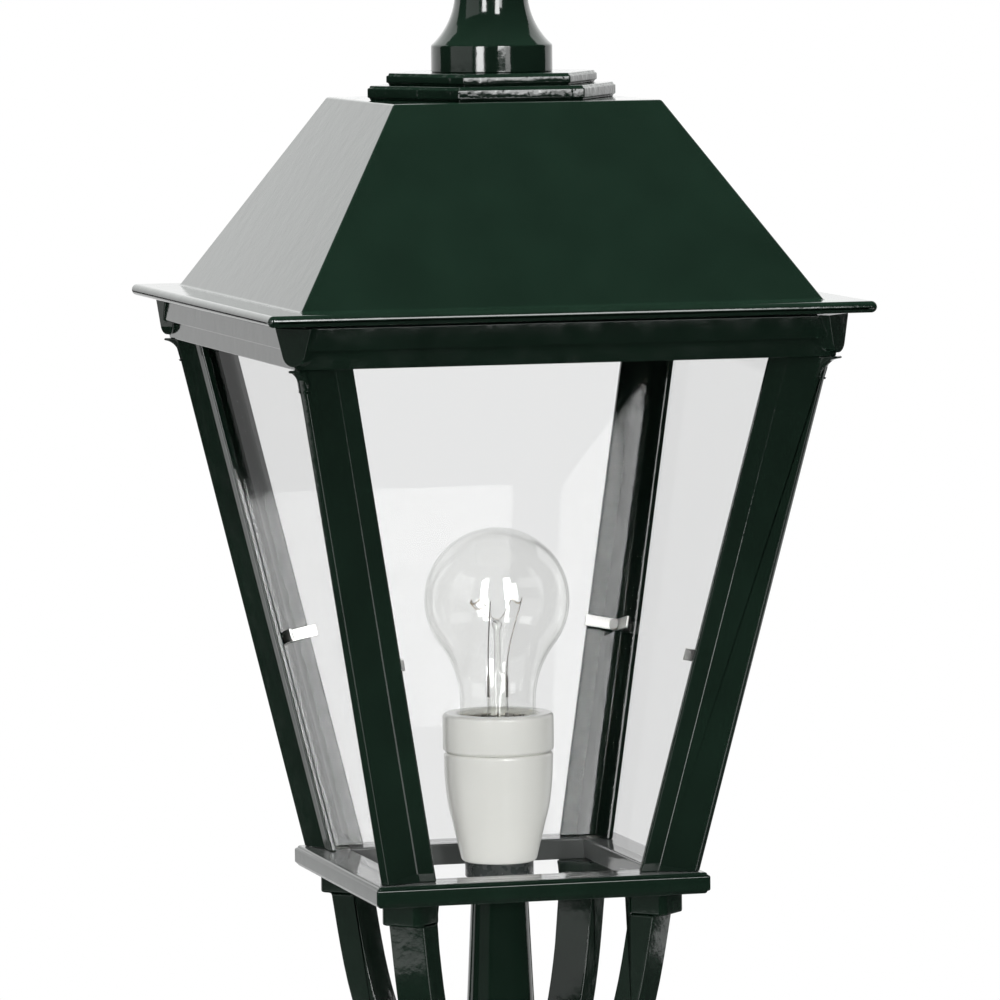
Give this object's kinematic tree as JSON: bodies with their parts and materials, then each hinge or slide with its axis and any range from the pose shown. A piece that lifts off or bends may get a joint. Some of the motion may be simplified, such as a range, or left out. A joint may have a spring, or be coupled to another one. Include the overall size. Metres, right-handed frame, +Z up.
{
  "type": "street lamp post",
  "caption": "Dark green post with a square tapered glazed lantern on four curved arms, hinged roof with finial, porcelain lamp holder and clear bulb.",
  "frame": {"origin": "on the ground, under the centre of the hexagonal foot plate, on the axis of the column", "axes": "+Z up along the column; -Y is the front of the lantern and the side of the service door; +X to its right"},
  "size_m": [0.3, 0.2598, 1.7285],
  "materials": {
    "green_casting": "gloss",
    "green_foot": "gloss",
    "steel": "satin",
    "brass": "satin",
    "pane_glass": "polished",
    "bulb_glass": "polished",
    "porcelain": "gloss",
    "wire": "satin",
    "cap_metal": "satin",
    "grey_plastic": "satin",
    "black_rubber": "matte",
    "cable_sheath": "satin",
    "dark_fitting": "satin"
  },
  "bodies": {
    "post": {"foot_plate": "green_foot", "pedestal": "green_foot", "pedestal_cap": "green_foot", "pedestal_bolts": "steel", "door_hinge_pins": "steel", "mounting_rail": "steel", "fuse_box": "grey_plastic", "fuse_box_cover": "grey_plastic", "fuse_box_screws": "steel", "earth_bolt": "brass", "column_foot": "green_foot", "column_foot_bolts": "steel", "lower_shaft": "green_casting", "shaft_collar": "green_casting", "upper_shaft": "green_casting", "neck_ring": "green_casting", "frog_hub": "green_casting", "hub_set_screws": "steel", "frog_arm_front_left": "green_casting", "frog_arm_front_right": "green_casting", "frog_arm_back_right": "green_casting", "frog_arm_back_left": "green_casting", "arm_screws": "steel", "conduit": "green_casting", "lantern_frame": "green_casting", "lug_screws": "steel", "bar_foot_screws": "steel", "corner_bar_front_left": "green_casting", "corner_bar_front_right": "green_casting", "corner_bar_back_right": "green_casting", "corner_bar_back_left": "green_casting", "glass_front": "pane_glass", "glass_right": "pane_glass", "glass_back": "pane_glass", "glass_left": "pane_glass", "glass_clips": "steel", "cornice": "green_casting", "cornice_screws": "steel", "roof_gasket": "black_rubber", "roof_hinge_pins": "steel", "holder_disc": "dark_fitting", "holder_nipple": "brass", "holder_body": "porcelain", "holder_ring": "porcelain", "holder_shell": "brass", "holder_contact": "brass", "lamp_cable": "cable_sheath"},
    "roof": {"roof": "green_casting", "finial_plate_lower": "green_casting", "finial_plate_upper": "green_casting", "finial": "green_casting", "finial_nut": "steel"},
    "clamp_screw": {"roof_clamp_screw": "brass"},
    "bulb": {"bulb_cap": "cap_metal", "bulb_glass": "bulb_glass", "bulb_stem": "bulb_glass", "bulb_filament": "wire"},
    "door": {"service_door": "green_foot"},
    "latch": {"door_latch": "steel"}
  },
  "joints": [
    {"name": "roof_hinge", "type": "hinge", "parent": "post", "child": "roof", "pos_m": [0, 0.1205, 1.535], "axis": [-1, 0, 0], "range_deg": [0, 100]},
    {"name": "clamp_screw_travel", "type": "slide", "parent": "post", "child": "clamp_screw", "axis": [1, 0, 0], "range_m": [0, 0.004]},
    {"name": "bulb_withdraw", "type": "slide", "parent": "post", "child": "bulb", "axis": [0, 0, 1], "range_m": [0, 0.03]},
    {"name": "door_hinge", "type": "hinge", "parent": "post", "child": "door", "pos_m": [-0.041, -0.0911, 0.169], "axis": [0, 0, -1], "range_deg": [0, 110]},
    {"name": "latch_turn", "type": "hinge", "parent": "door", "child": "latch", "pos_m": [0.024, -0.0866, 0.169], "axis": [0, 1, 0], "range_deg": [0, 90]}
  ]
}
